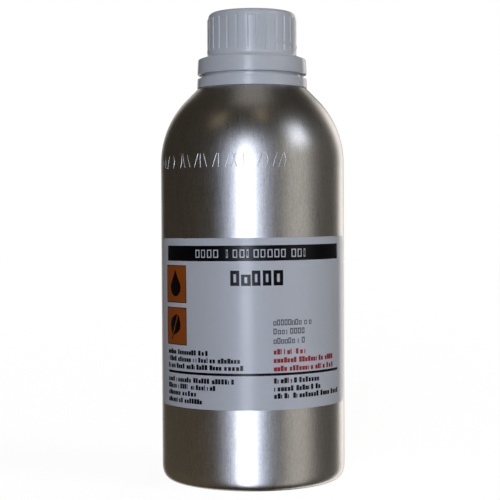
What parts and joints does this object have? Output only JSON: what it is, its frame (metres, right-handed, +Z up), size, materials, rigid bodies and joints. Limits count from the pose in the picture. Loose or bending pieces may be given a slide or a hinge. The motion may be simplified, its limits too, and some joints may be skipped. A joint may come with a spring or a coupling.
{
  "type": "aluminium screw-cap bottle",
  "caption": "Round aluminium bottle with a domed shoulder, a ribbed screw cap over a tamper ring and a wrapped paper label. The cap unscrews up its thread.",
  "frame": {"origin": "centre of the foot ring, on the surface that the bottle stands on", "axes": "+Z up the bottle's axis, -Y out through the middle of the label, +X to the label's right"},
  "size_m": [0.076, 0.0762, 0.193],
  "materials": {
    "bottle": "brushed, satin",
    "cap": "moulded, slightly glossy",
    "ring": "moulded, slightly glossy",
    "liner": "fine closed foam",
    "plug": "soft, milky",
    "label": "coated paper with print"
  },
  "bodies": {
    "bottle": {"bottle_shell": "bottle", "neck_plug": "plug", "tamper_ring": "ring", "label": "label"},
    "liner": {"cap_liner": "liner"},
    "cap": {"cap_shell": "cap"}
  },
  "joints": [
    {"name": "cap_rise", "type": "slide", "parent": "bottle", "child": "liner", "axis": [0, 0, 1], "range_m": [0, 0.00601]},
    {"name": "cap_turn", "type": "hinge", "parent": "liner", "child": "cap", "pos_m": [0, 0, 0.178], "axis": [0, 0, 1], "range_deg": [0, 540]}
  ],
  "couplings": [
    {"joint": "cap_rise", "follows": "cap_turn", "m_per_rad": 0.00063662}
  ]
}
